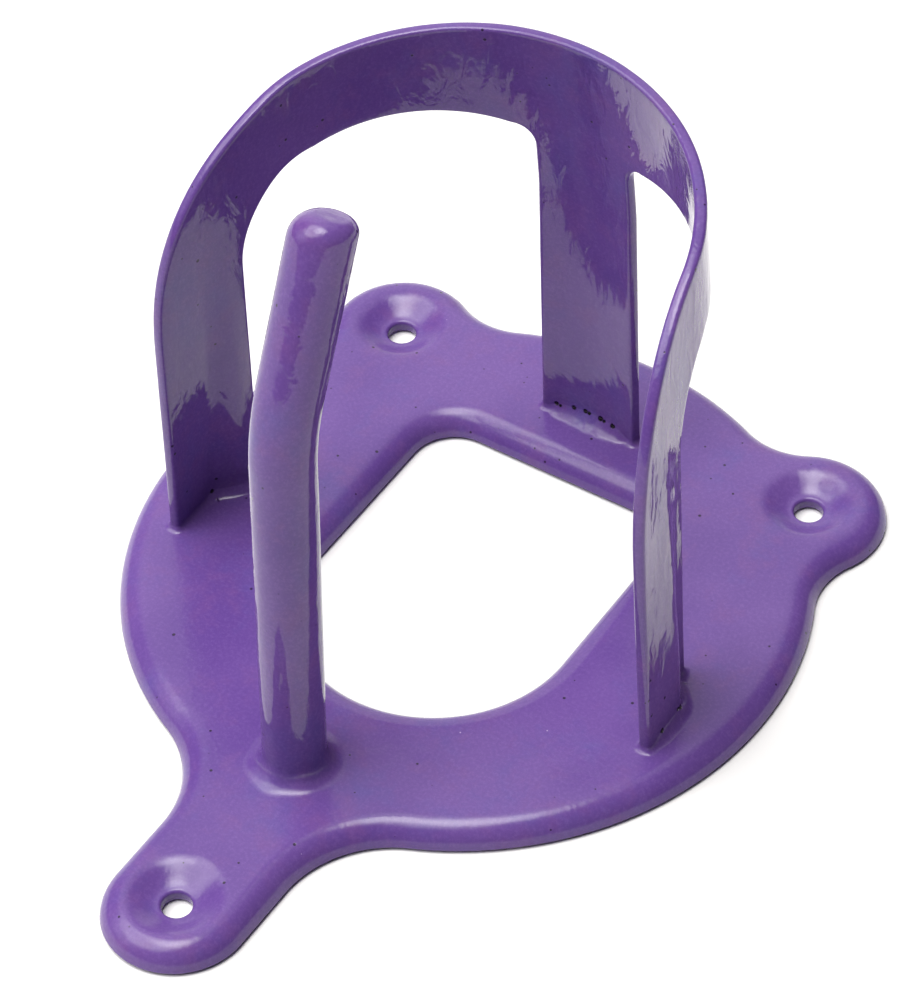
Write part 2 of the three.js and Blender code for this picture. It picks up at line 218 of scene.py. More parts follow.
class Skin:
    """Vertices and faces of one piece, gathered before its mesh is made."""

    def __init__(self):
        self.points = np.zeros((0, 3))
        self.faces = []

    def add(self, points):
        first = len(self.points)
        self.points = np.vstack([self.points, points])
        return np.arange(first, first + len(points))

    def mesh(self, name, material):
        world = (self.points + [0, DISC_Y, 0]) * MM
        mesh = bpy.data.meshes.new(name)
        mesh.from_pydata(world.tolist(), [], self.faces)
        mesh.materials.append(material)
        mesh.validate()
        piece = bpy.data.objects.new(name, mesh)
        bpy.context.scene.collection.objects.link(piece)
        bpy.context.view_layer.objects.active = piece
        piece.select_set(True)
        bpy.ops.object.mode_set(mode="EDIT")
        bpy.ops.mesh.select_all(action="SELECT")
        bpy.ops.mesh.normals_make_consistent(inside=False)
        bpy.ops.object.mode_set(mode="OBJECT")
        piece.select_set(False)
        mesh.shade_smooth()
        return piece


# --- Wall plate ---------------------------------------------------------------------------------


def polar(length, angle):
    return np.array([length * math.cos(angle), length * math.sin(angle)])


def ear_list():
    ears = []
    turns = ((LOWER_EAR, -90), (UPPER_EAR, 90 - UPPER_EAR_ANGLE), (UPPER_EAR, 90 + UPPER_EAR_ANGLE))
    for ear, turn in turns:
        from_disc = DISC_RADIUS + ear["fillet"]
        from_ear = ear["radius"] + ear["fillet"]
        on_tongue = math.sqrt(from_disc**2 - from_ear**2)
        on_circle = (from_disc**2 - from_ear**2 + ear["reach"] ** 2) / (2 * ear["reach"])
        tongue = on_tongue < ear["reach"]
        along = on_tongue if tongue else on_circle
        across = from_ear if tongue else math.sqrt(from_disc**2 - along**2)
        direction = math.radians(turn)
        ears.append(dict(
            ear,
            direction=direction,
            centre=polar(ear["reach"], direction),
            from_disc=from_disc,
            disc_angle=math.atan2(across, along),
            ear_angle=math.atan2(across, max(along - ear["reach"], 0)),
        ))
    return ears


EARS = ear_list()


def plate_outline():
    """The plate's outline, counterclockwise from the lower ear."""
    runs = []
    for i, ear in enumerate(EARS):
        after = EARS[(i + 1) % len(EARS)]
        turn = 2 * math.pi if i == len(EARS) - 1 else 0
        direction, at_disc, at_ear = ear["direction"], ear["disc_angle"], ear["ear_angle"]
        back = direction + math.pi
        first = polar(ear["from_disc"], direction - at_disc)
        second = polar(ear["from_disc"], direction + at_disc)
        next_disc = after["direction"] + turn - after["disc_angle"]
        runs += [
            arc(first, ear["fillet"], back - at_disc, back - at_ear),
            arc(ear["centre"], ear["radius"], direction - at_ear, direction + at_ear),
            arc(second, ear["fillet"], back + at_ear, back + at_disc),
            arc((0, 0), DISC_RADIUS, direction + at_disc, next_disc),
        ]
    return np.vstack(runs)


def opening_outline():
    half, corner = OPENING["half_width"], OPENING["corner"]
    side, height = half - corner, OPENING["top"] - corner
    return np.vstack([
        arc((0, OPENING["arc_centre"]), half, math.pi, 2 * math.pi),
        arc((side, height), corner, 0, math.pi / 2),
        arc((-side, height), corner, math.pi / 2, math.pi),
    ])


def dimple_fall(xy):
    """How far the pressed dimples lower the plate at each point."""
    fall = np.zeros(len(xy))
    for ear in EARS:
        radius = np.linalg.norm(xy - ear["centre"], axis=1)
        share = np.clip((radius - DIMPLE["inner"]) / (DIMPLE["outer"] - DIMPLE["inner"]), 0, 1)
        eased = DIMPLE["straight"] * share + (1 - DIMPLE["straight"]) * smoothstep(share, 0, 1)
        fall += DIMPLE["depth"] * (1 - eased)
    return fall


def plate_wave(xy):
    """The slow unevenness of the plate's upper surface."""
    return waves(np.column_stack([xy, np.zeros(len(xy))]), PLATE_WAVES)


def sweep(start, end, count):
    """Cosine and sine at even steps of an angle."""
    return [(math.cos(angle), math.sin(angle)) for angle in np.linspace(start, end, count)]


# Each rim profile runs from the upper surface over the edge to the underside, as pairs of the
# distance inside the outline and the height. The lip and the heel are the roundings of the rim's
# foot, and the plastic is a little thicker on the rim's inner side.
RIM = dict(lip=0.9, heel=0.6, thicker=0.3)
HOLE_LIP = 0.8
QUARTER = math.pi / 2


def rim_profile():
    inner = PLATE_TOP - PLATE_THICKNESS
    lip, heel = RIM["lip"], RIM["heel"]
    heel_at = PLATE_THICKNESS - heel + RIM["thicker"]
    bow = inner - RIM["thicker"]
    over = [(PLATE_TOP * (1 - sine), PLATE_TOP * cosine) for cosine, sine in sweep(0, 1.40, 13)]
    foot = [(lip * (1 - cosine), lip * (1 - sine)) for cosine, sine in sweep(0.2, QUARTER, 5)]
    back = [(heel_at + heel * sine, heel * (1 - cosine)) for cosine, sine in sweep(0, 1.3, 4)]
    under = [(PLATE_TOP - bow * cosine, inner * sine) for cosine, sine in sweep(0.3, QUARTER, 6)]
    return over + foot + back + under


def hole_profile():
    floor = PLATE_TOP - DIMPLE["depth"]
    lip = HOLE_LIP
    top = [(lip * (1 - sine), floor - lip * (1 - cosine)) for cosine, sine in sweep(0, QUARTER, 6)]
    bottom = [(lip * (1 - cosine), lip * (1 - sine)) for cosine, sine in sweep(0, QUARTER, 5)]
    return top + bottom


def plate_point(xy, z, share):
    """A point of the plate, lowered by the dimples; share is how far it takes part in the wave."""
    return np.column_stack([xy, z - dimple_fall(xy) + share * plate_wave(xy)])


# How far apart the skins' points lie on the open faces and round the screw holes, and the rings of
# finer points that run from each hole out over its dimple.
SKIN_SPACING = 1.1
HOLE_SPACING = 0.42
HOLE_RINGS = dict(reach=9.3, count=11)


def make_plate(material):
    skin = Skin()
    loops = []
    for outline, side in ((plate_outline(), -1), (opening_outline(), 1)):
        line = resample(outline, SKIN_SPACING, closed=True)
        loops.append((line, side * left_normals(line, closed=True), rim_profile(), False))
    for ear in EARS:
        circle = ear["centre"] + arc((0, 0), HOLE_RADIUS, 0, 2 * math.pi)[:-1]
        line = resample(circle, HOLE_SPACING, closed=True)
        loops.append((line, (ear["centre"] - line) / HOLE_RADIUS, hole_profile(), True))

    # Rings of finer points round each hole, out to where the dimple's cone is well under way.
    inner_loops = [line - outwards * profile[0][0] for line, outwards, profile, _ in loops]
    rings = {}
    for k, (_, _, _, is_hole) in enumerate(loops):
        if is_hole:
            centre = EARS[k - 2]["centre"]
            start = inner_loops[k]
            radius = np.linalg.norm(start[0] - centre)
            steps = np.linspace(radius, HOLE_RINGS["reach"], HOLE_RINGS["count"])
            directions = (start - centre) / radius
            rings[k] = [centre + directions * r for r in steps]
            inner_loops[k] = rings[k][-1]
    flat, faces = fill(inner_loops, SKIN_SPACING)
    top = skin.add(plate_point(flat, PLATE_TOP, 1.0))
    bottom = skin.add(plate_point(flat, PLATE_TOP - PLATE_THICKNESS, 0.5))
    skin.faces += [[int(top[v]) for v in face] for face in faces]
    skin.faces += [[int(bottom[v]) for v in reversed(face)] for face in faces]

    start = 0
    for k, (line, outwards, profile, is_hole) in enumerate(loops):
        count = len(line)
        first, last = top[start:start + count], bottom[start:start + count]
        start += count
        if is_hole:
            for ring in rings[k][-2::-1]:
                upper = skin.add(plate_point(ring, PLATE_TOP, 1.0))
                lower = skin.add(plate_point(ring, PLATE_TOP - PLATE_THICKNESS, 0.5))
                skin.faces += strip(first, upper, True) + strip(last, lower, True)
                first, last = upper, lower
            for inset, z in profile[1:-1]:
                row = skin.add(np.column_stack([line - outwards * inset, np.full(count, z)]))
                skin.faces += strip(first, row, True)
                first = row
        else:
            for inset, z in profile[1:-1]:
                xy = line - outwards * inset
                share = np.clip(z / PLATE_TOP, 0, 1) ** 2
                heights = z - dimple_fall(xy) * share + share * plate_wave(xy)
                row = skin.add(np.column_stack([xy, heights]))
                skin.faces += strip(first, row, True)
                first = row
        skin.faces += strip(first, last, True)
    return skin.mesh("plate_dip", material)


# --- Arch ---------------------------------------------------------------------------------------


def leg_flare(past, z):
    """How far a leg flares outwards, at a distance past the end of the half round and a height."""
    bend = FOOT_BEND["width"] * smoothstep(past, FOOT_BEND["start"], FOOT_BEND["end"])
    easing = SPLAY["straight"] - SPLAY["start"]
    eased = np.clip(past - SPLAY["start"], 0, easing)
    splay = SPLAY["slope"] * (eased**2 / (2 * easing) + np.maximum(past - SPLAY["straight"], 0))
    share = smoothstep(z, 0, SPLAY["full_height"])
    return bend * (1 - share) + splay * share


def rolled(s, z, inwards):
    """Points of the rolled strap: s along it, z over the wall, inwards from its middle surface."""

    def at(length):
        reach = np.abs(length)
        angle = np.minimum(reach, ARC_END) / ARCH_RADIUS
        height = z / RIM_HEIGHT
        x = ARCH_RADIUS * np.sin(angle) * (1 - LEAN["sides"] * height) + leg_flare(reach - ARC_END, z)
        y = ARCH_CENTRE_Y + ARCH_RADIUS * np.cos(angle) - np.maximum(reach - ARC_END, 0)
        upper = np.maximum(z - LEAN["crown_start"], 0) / (RIM_HEIGHT - LEAN["crown_start"])
        crown = smoothstep(y, 0, LEAN["full_y"])
        leaned = y * (1 - LEAN["crown"] * upper ** LEAN["power"] * crown)
        return np.stack([np.sign(length) * x, leaned], -1)

    step = 0.5
    along = at(s + step) - at(s - step)
    along /= np.linalg.norm(along, axis=-1, keepdims=True)
    inward = np.stack([along[..., 1], -along[..., 0]], -1)
    plan = at(s) + inward * np.asarray(inwards)[..., None]
    return np.concatenate([plan, np.asarray(z)[..., None] * np.ones_like(plan[..., :1])], -1)


LEG_TOP = 10.0  # where the legs' feet begin
WAVE_TOP = 20.0  # from here up the strap takes its full part in the wave


def rim_chain():
    """The strap's outer outline: up the left leg, along the rim and down the right leg."""
    width = ARCH_HALF_LENGTH - CORNER["start"]
    along = np.linspace(0, CORNER["start"], 300)
    half = [np.stack([along, RIM_HEIGHT - RIM_FALL * along**2], 1)]
    angles = np.linspace(0, math.pi / 2, 400)
    s = CORNER["start"] + width * np.sin(angles) ** (2 / CORNER["power"])
    drop = CORNER["drop"] * (1 - np.cos(angles) ** (2 / CORNER["power"]))
    half.append(np.stack([s, RIM_HEIGHT - RIM_FALL * s**2 - drop], 1))
    half.append(np.array([[ARCH_HALF_LENGTH, LEG_TOP]]))
    right = np.vstack(half)
    left = right[::-1] * [-1, 1]
    return np.vstack([left[:-1], right])


def window_chain(side):
    """One window's outline, from the foot of its right-hand leg over its top to its left-hand one."""

    def top(s):
        return WINDOW_TOP["height"] + WINDOW_TOP["slope"] * s - WINDOW_TOP["bow"] * s**2

    inner_s = WINDOW["start"] + WINDOW["inner_corner"]
    outer_s = WINDOW["end"] - WINDOW["outer_corner"]
    inner = (inner_s, top(inner_s) - WINDOW["inner_corner"])
    outer = (outer_s, top(outer_s) - WINDOW["outer_corner"])
    crown = np.linspace(inner_s, outer_s, 100)
    points = np.vstack([
        [[WINDOW["end"], LEG_TOP]],
        arc(outer, WINDOW["outer_corner"], 0, math.pi / 2),
        np.stack([crown, top(crown)], 1)[::-1],
        arc(inner, WINDOW["inner_corner"], math.pi / 2, math.pi),
        [[WINDOW["start"], LEG_TOP]],
    ])
    return points if side > 0 else points[::-1] * [-1, 1]


def strap_wave(s, z, face):
    """Runs and dents of the plastic on the strap, in millimetres; face is 1 inside, -1 outside."""
    return waves(np.column_stack([s, z, np.full(len(s), FACES_APART * face)]), STRAP_WAVES)


# Where beads of weld show through the plastic: range of s, strap side, and the size at its middle.
BEADS = (
    dict(start=-9.8, end=9.6, face=1, width=3.8, height=2.9),
    dict(start=84.5, end=104.5, face=-1, width=2.6, height=2.0),
    dict(start=86.0, end=104.0, face=1, width=2.4, height=1.8),
    dict(start=-97.0, end=-84.0, face=1, width=2.4, height=1.8),
    dict(start=-104.0, end=-87.0, face=-1, width=2.4, height=1.8),
)
MENISCUS = 1.5
BEAD_RISE = 0.45  # a bead's outline swells and thins as a half ellipse raised to this power
LUMPS = dict(size=2.6, seed=(3.1, 7.7), share=0.25)  # the beads' unevenness along their length


def foot_size(s, t):
    """Width, height and share of weld of a foot's fillet, for points of the leg's section."""
    lumps = np.array([noise.noise(Vector((v / LUMPS["size"], *LUMPS["seed"]))) for v in s])
    uneven = 1 + LUMPS["share"] * lumps
    width = np.full(len(s), MENISCUS)
    height = np.full(len(s), MENISCUS)
    shoulder = np.zeros(len(s))
    for bead in BEADS:
        middle, half = (bead["start"] + bead["end"]) / 2, (bead["end"] - bead["start"]) / 2
        share = np.clip(1 - ((s - middle) / half) ** 2, 0, 1) ** BEAD_RISE
        share = share * smoothstep(t * bead["face"], 0.2, 1.2)
        width += share * (bead["width"] - MENISCUS) * uneven
        height += share * (bead["height"] - MENISCUS) * uneven
        shoulder += share
    return width, height, shoulder


def fillet(share, width, height, shoulder):
    """A fillet's section from the wall down to the plate, outwards and upwards.

    It is hollow where shoulder is 0; where shoulder is 1 it leaves the wall at a crease and swells."""
    a, b = 3 * (1 - share) ** 2 * share, 3 * (1 - share) * share**2
    pull = 0.56
    hollow_out = b * (1 - pull) + share**3
    hollow_up = (1 - share) ** 3 + a * (1 - pull)
    swollen_up = 1 - 0.4 * share - 0.6 * smoothstep(share, 0, 1)
    swell = 0.5 * shoulder
    out = (1 - swell) * hollow_out + swell * share
    up = (1 - swell) * hollow_up + swell * swollen_up
    return width * out, height * up


EDGE_SPACING = 0.9
EDGE_POWER = 2.8  # of the superellipse that rounds the strap's edges


def make_arch(material):
    skin = Skin()
    chains = [rim_chain(), window_chain(1), window_chain(-1)]
    angles = np.linspace(0, math.pi, 13)
    power = 2 / EDGE_POWER
    insets = STRAP_EDGE * (1 - np.sin(angles) ** power)
    depths = STRAP_HALF * np.sign(np.cos(angles)) * np.abs(np.cos(angles)) ** power
    built = []
    for chain in chains:
        line = resample(chain, EDGE_SPACING)
        normals = left_normals(line)
        normals[0], normals[-1] = (-1, 0), (1, 0)
        line[[0, -1], 1] = LEG_TOP
        built.append((line, normals))

    # The flat region inside the rounded edges, as one loop: chain, foot, chain, foot, chain, foot.
    loop, chain_slots, foot_slots, size = [], [], [], 0
    for k, (line, normals) in enumerate(built):
        first = line - normals * insets[0]
        following, following_normals = built[(k + 1) % 3]
        target = following[0] - following_normals[0] * insets[0]
        steps = max(2, round(np.linalg.norm(target - first[-1]) / EDGE_SPACING))
        foot = first[-1] + (target - first[-1]) * np.linspace(0, 1, steps + 1)[1:-1, None]
        chain_slots.append(slice(size, size + len(first)))
        foot_slots.append(slice(size + len(first), size + len(first) + len(foot)))
        size += len(first) + len(foot)
        loop += [first, foot]
    flat, faces = fill([np.vstack(loop)], SKIN_SPACING)

    def place(s, z, t, face):
        wave = strap_wave(s, z, face) * smoothstep(z, LEG_TOP, WAVE_TOP)
        return rolled(s, z, t + face * wave)

    sheets = {}
    for face in (1, -1):
        s, z = flat[:, 0], flat[:, 1]
        sheets[face] = skin.add(place(s, z, np.full(len(s), face * STRAP_HALF), face))
        skin.faces += [[int(sheets[face][v]) for v in f] for f in faces]
    columns = []
    for k, (line, normals) in enumerate(built):
        rows = [sheets[1][chain_slots[k]]]
        for inset, depth in zip(insets[1:-1], depths[1:-1]):
            s, z = (line - normals * inset).T
            face = depth / STRAP_HALF
            wave = strap_wave(s, z, np.sign(face)) * abs(face) * smoothstep(z, LEG_TOP, WAVE_TOP)
            rows.append(skin.add(rolled(s, z, depth + face * wave)))
        rows.append(sheets[-1][chain_slots[k]])
        for first, second in zip(rows, rows[1:]):
            skin.faces += strip(first, second)
        columns.append(np.array(rows))

    # The feet: each leg's section goes on down and spreads into the plate.
    for k, (line, normals) in enumerate(built):
        after = (k + 1) % 3
        end, begin = columns[k][:, -1], columns[after][:, 0]
        slot = foot_slots[k]
        ring = np.concatenate([end[::-1], sheets[1][slot], begin, sheets[-1][slot][::-1]])
        edge_out = line[-1] - np.outer(insets, normals[-1])
        start_line, start_normals = built[after]
        edge_in = start_line[0] - np.outer(insets, start_normals[0])
        foot_s = flat[slot, 0]
        s = np.concatenate([edge_out[::-1, 0], foot_s, edge_in[:, 0], foot_s[::-1]])
        t = np.concatenate([
            depths[::-1], np.full(len(foot_s), STRAP_HALF), depths, np.full(len(foot_s), -STRAP_HALF),
        ])
        width, height, shoulder = foot_size(s, t)
        base = rolled(s, np.full(len(s), PLATE_TOP), t)[:, :2]
        around = np.roll(base, -1, 0) - np.roll(base, 1, 0)
        around /= np.linalg.norm(around, axis=1, keepdims=True)
        outwards = np.stack([around[:, 1], -around[:, 0]], 1)
        if np.mean(np.sum(outwards * (base - base.mean(0)), axis=1)) < 0:
            outwards = -outwards
        # Each row has its share of the way down the fillet, and how much further out and lower it lies.
        # The last three tuck the foot's edge into the plate.
        before = ring
        tail = ((1.0, 0.5, -0.03), (1.0, 1.0, -0.15), (1.0, 1.0, -1.2))
        shares = [(share, 0.0, 0.0) for share in np.linspace(0, 1, 16)] + list(tail)
        for share, further, lower in shares:
            out, up = fillet(share, width, height, shoulder)
            z = PLATE_TOP + up + lower
            points = rolled(s, z, t)
            points[:, :2] += outwards * (out + further)[:, None]
            settle = 1 - smoothstep(up, 0, height)
            points[:, 2] += settle * plate_wave(points[:, :2])
            row = skin.add(points)
            skin.faces += strip(before, row, True)
            before = row
        skin.faces.append([int(v) for v in before])
    return skin.mesh("arch_dip", material)


# --- Hook bar -----------------------------------------------------------------------------------


# Distances along the bar's middle line: where its bend starts and ends, and its tip.
BAR_LEAN = math.radians(BAR["lean"])
BEND_START = BAR["bend_height"] / math.cos(BAR_LEAN)
BEND_END = BEND_START + BAR["bend_radius"] * math.radians(BAR_TIP["lean"] - BAR["lean"])
BAR_LENGTH = BEND_END + BAR_TIP["straight"]
BAR_SPACING = 1.5


def bar_line(length):
    """The bar's middle line in the plane x = 0: y, z and the lean of its direction from upright."""
    first = min(length, BEND_START)
    bent = min(max(length - BEND_START, 0), BEND_END - BEND_START)
    last = max(length - BEND_END, 0)
    angle = BAR_LEAN + bent / BAR["bend_radius"]
    bend_y = BAR["bend_radius"] * (math.cos(BAR_LEAN) - math.cos(angle))
    bend_z = BAR["bend_radius"] * (math.sin(angle) - math.sin(BAR_LEAN))
    y = BAR["foot_y"] + first * math.sin(BAR_LEAN) + bend_y + last * math.sin(angle)
    z = first * math.cos(BAR_LEAN) + bend_z + last * math.cos(angle)
    return y, z, angle


def bar_rings(turn):
    """Rings of points up the bar, from under its foot's fillet to the middle of its tip."""
    rings = []
    lumps = 1 + 0.07 * np.sin(3 * turn + 1) + 0.05 * np.sin(7 * turn)
    # As on the legs: share of the fillet, further out and lower. The hidden rows lie in the plate.
    hidden = ((1, 1.2, -1.2), (1, 1.2, -0.15), (1, 0.6, -0.03))
    shown = [(share, 0, 0) for share in np.linspace(1, 0, 14)]
    for share, further, lower in (*hidden, *shown):
        out, up = fillet(share, BAR_FOOT["width"] * lumps, BAR_FOOT["height"] * lumps, 0)
        z = PLATE_TOP + up + lower
        centre_y = BAR["foot_y"] + z * math.tan(BAR_LEAN)
        reach = BAR["radius"] + out + further
        points = np.stack([reach * np.cos(turn), centre_y + reach * np.sin(turn), z], 1)
        points[:, 2] += (1 - smoothstep(up, 0, BAR_FOOT["height"])) * plate_wave(points[:, :2])
        rings.append(points)

    start, end = PLATE_TOP + BAR_FOOT["end"], BAR_LENGTH - 2 * BAR_TIP["rounding"]
    for length in np.arange(start, end, BAR_SPACING):
        y, z, angle = bar_line(length)
        aside, across = BAR["radius"] * np.cos(turn), BAR["radius"] * np.sin(turn)
        rings.append(np.stack([aside, y + across * math.cos(angle), z - across * math.sin(angle)], 1))

    # The tip is rounded more on one side than on the other, and its end face slopes a little.
    towards_sharp = np.cos(turn - BAR_TIP["sharp_side"])
    rounding = BAR_TIP["rounding"] - BAR_TIP["uneven"] * towards_sharp
    y, z, angle = bar_line(BAR_LENGTH)
    ends = [(share, 1.0) for share in np.linspace(0, math.pi / 2, 14)]
    for bow, inner in ends + [(math.pi / 2, 0.6), (math.pi / 2, 0.25)]:
        radius = (BAR["radius"] - rounding * (1 - math.cos(bow))) * inner
        below = rounding * (1 - math.sin(bow)) + BAR_TIP["slope"] * radius * towards_sharp
        aside, across = radius * np.cos(turn), radius * np.sin(turn)
        rings.append(np.stack([
            aside,
            y + across * math.cos(angle) - below * math.sin(angle),
            z - across * math.sin(angle) - below * math.cos(angle),
        ], 1))
    return rings


def make_bar(material):
    skin = Skin()
    rows = []
    for points in bar_rings(np.linspace(0, 2 * math.pi, 96, endpoint=False)):
        outwards = points - [0, points[:, 1].mean(), points[:, 2].mean()]
        outwards /= np.linalg.norm(outwards, axis=1, keepdims=True)
        fade = smoothstep(points[:, 2], PLATE_TOP + 2, PLATE_TOP + 8)
        rows.append(skin.add(points + outwards * (waves(points, BAR_WAVES) * fade)[:, None]))
    for first, second in zip(rows, rows[1:]):
        skin.faces += strip(first, second, True)
    skin.faces.append([int(v) for v in rows[0]])
    skin.faces.append([int(v) for v in rows[-1]])
    return skin.mesh("hook_dip", material)


# --- Materials ----------------------------------------------------------------------------------


def node_material(name):
    material = bpy.data.materials.new(name)
    material.use_nodes = True
    tree = material.node_tree
    return material, tree, tree.nodes["Principled BSDF"]


class Nodes:
    """Short calls that add and link the nodes of one tree, with lengths in millimetres."""

    def __init__(self, tree):
        self.tree = tree
        place = tree.nodes.new("ShaderNodeTexCoord")
        scale = tree.nodes.new("ShaderNodeVectorMath")
        scale.operation = "SCALE"
        scale.inputs["Scale"].default_value = 1 / MM
        tree.links.new(place.outputs["Object"], scale.inputs[0])
        self.place = scale.outputs[0]

    def put(self, value, socket):
        if isinstance(value, bpy.types.NodeSocket):
            self.tree.links.new(value, socket)
        else:
            socket.default_value = value

    def stretch(self, factors):
        node = self.tree.nodes.new("ShaderNodeVectorMath")
        node.operation = "MULTIPLY"
        self.put(self.place, node.inputs[0])
        node.inputs[1].default_value = factors
        return node.outputs[0]

    def noise(self, size, detail=2.0, roughness=0.5, place=None, distortion=0.0):
        node = self.tree.nodes.new("ShaderNodeTexNoise")
        self.put(place or self.place, node.inputs["Vector"])
        node.inputs["Scale"].default_value = 1 / size
        node.inputs["Detail"].default_value = detail
        node.inputs["Roughness"].default_value = roughness
        node.inputs["Distortion"].default_value = distortion
        return node.outputs["Fac"]

    def cells(self, size):
        """Distance from the nearest random cell's middle, in cell sizes, and the cell's random value."""
        node = self.tree.nodes.new("ShaderNodeTexVoronoi")
        self.put(self.place, node.inputs["Vector"])
        node.inputs["Scale"].default_value = 1 / size
        split = self.tree.nodes.new("ShaderNodeSeparateColor")
        self.put(node.outputs["Color"], split.inputs[0])
        return node.outputs["Distance"], split.outputs[0]

    def math(self, operation, first, second):
        node = self.tree.nodes.new("ShaderNodeMath")
        node.operation = operation
        self.put(first, node.inputs[0])
        self.put(second, node.inputs[1])
        return node.outputs[0]

    def ramp(self, value, low, high, start=0.0, end=1.0):
        """start below low, end above high, and an even change between them."""
        node = self.tree.nodes.new("ShaderNodeMapRange")
        self.put(value, node.inputs["Value"])
        for name, number in zip(("From Min", "From Max", "To Min", "To Max"), (low, high, start, end)):
            node.inputs[name].default_value = number
        return node.outputs[0]

    def mix(self, share, first, second):
        node = self.tree.nodes.new("ShaderNodeMix")
        node.data_type = "RGBA"
        self.put(share, node.inputs[0])
        for colour, socket in ((first, node.inputs[6]), (second, node.inputs[7])):
            self.put((*colour, 1) if isinstance(colour, tuple) else colour, socket)
        return node.outputs[2]

    def bump(self, height, depth, normal=None):
        """Tilts the surface by a height of depth millimetres."""
        node = self.tree.nodes.new("ShaderNodeBump")
        self.put(height, node.inputs["Height"])
        node.inputs["Distance"].default_value = depth * MM
        if normal is not None:
            self.put(normal, node.inputs["Normal"])
        return node.outputs[0]


def plate_share(nodes):
    """1 on the plate, 0 on what stands on it."""
    split = nodes.tree.nodes.new("ShaderNodeSeparateXYZ")
    nodes.put(nodes.place, split.inputs[0])
    return nodes.ramp(split.outputs["Z"], PLATE_TOP + 1, PLATE_TOP + 9, 1.0, 0.0)


def speck_share(nodes, cell, radius, rarity):
    """1 on small round specks: one in a few cells, each of its own size."""
    distance, random = nodes.cells(cell)
    size = nodes.ramp(random, rarity, 1.0, 0.0, radius / cell)
    return nodes.ramp(nodes.math("SUBTRACT", distance, size), -0.25 * radius / cell, 0.0, 1.0, 0.0)


# Pinholes blown through the plastic by gas from the welds, along the beads' upper edges: s, height
# over that edge, strap side, radius.
PINHOLES = (
    (-8.6, 0.0, 1, 0.52),
    (-7.6, -0.5, 1, 0.38),
    (-4.2, 0.0, 1, 0.52),
    (-1.2, 0.1, 1, 0.55),
    (-0.2, -0.2, 1, 0.43),
    (2.9, -0.1, 1, 0.64),
    (3.9, -0.4, 1, 0.41),
    (6.3, -0.1, 1, 0.58),
    (-94.6, 0.0, 1, 0.49),
    (101.8, 0.0, -1, 0.55),
    (94.6, 0.1, -1, 0.58),
    (95.4, 0.4, -1, 0.41),
)


def pinhole_share(nodes):
    """1 inside the pinholes, 0 outside."""
    share = 0.0
    for s, height, face, radius in PINHOLES:
        along, depth = np.array([s]), np.array([face * STRAP_HALF])
        z = PLATE_TOP + foot_size(along, depth)[1] + height
        centre = rolled(along, z, depth)[0] + [0, DISC_Y, 0]
        node = nodes.tree.nodes.new("ShaderNodeVectorMath")
        node.operation = "DISTANCE"
        nodes.put(nodes.place, node.inputs[0])
        node.inputs[1].default_value = centre
        hole = nodes.ramp(node.outputs["Value"], 0.75 * radius, 1.25 * radius, 1.0, 0.0)
        share = nodes.math("MAXIMUM", hole, share)
    return share


# The plastic's colours: its slow change, its tints and grain, what lies in it, and the painted shade
# inside its pinholes.
PURPLE_DARK, PURPLE_LIGHT = (0.106, 0.050, 0.236), (0.134, 0.067, 0.268)
PINK_TINT, BLUE_TINT = (0.158, 0.066, 0.232), (0.090, 0.066, 0.270)
GRAIN_DARK, GRAIN_LIGHT = (0.060, 0.028, 0.160), (0.270, 0.170, 0.400)
SPECK_DARK, SPECK_PALE = (0.014, 0.007, 0.022), (0.55, 0.42, 0.62)
# Near black painted into the pinholes: painted shade for the inside of holes that the mesh does not cut.
PINHOLE_SHADE = (0.006, 0.004, 0.006)
GLOSS = (0.03, 0.07)  # roughness of the upright pieces, from smooth to worn
SATIN = 0.14  # how much rougher the plate is
RUN_DEPTH, PEEL_DEPTH = 0.17, 0.010  # relief of the runs and of the orange peel, in millimetres
PLATE_RUNS = 0.40  # the runs' share of their depth on the plate
SPECK_DEPTH, PINHOLE_DEPTH = -0.02, -0.4


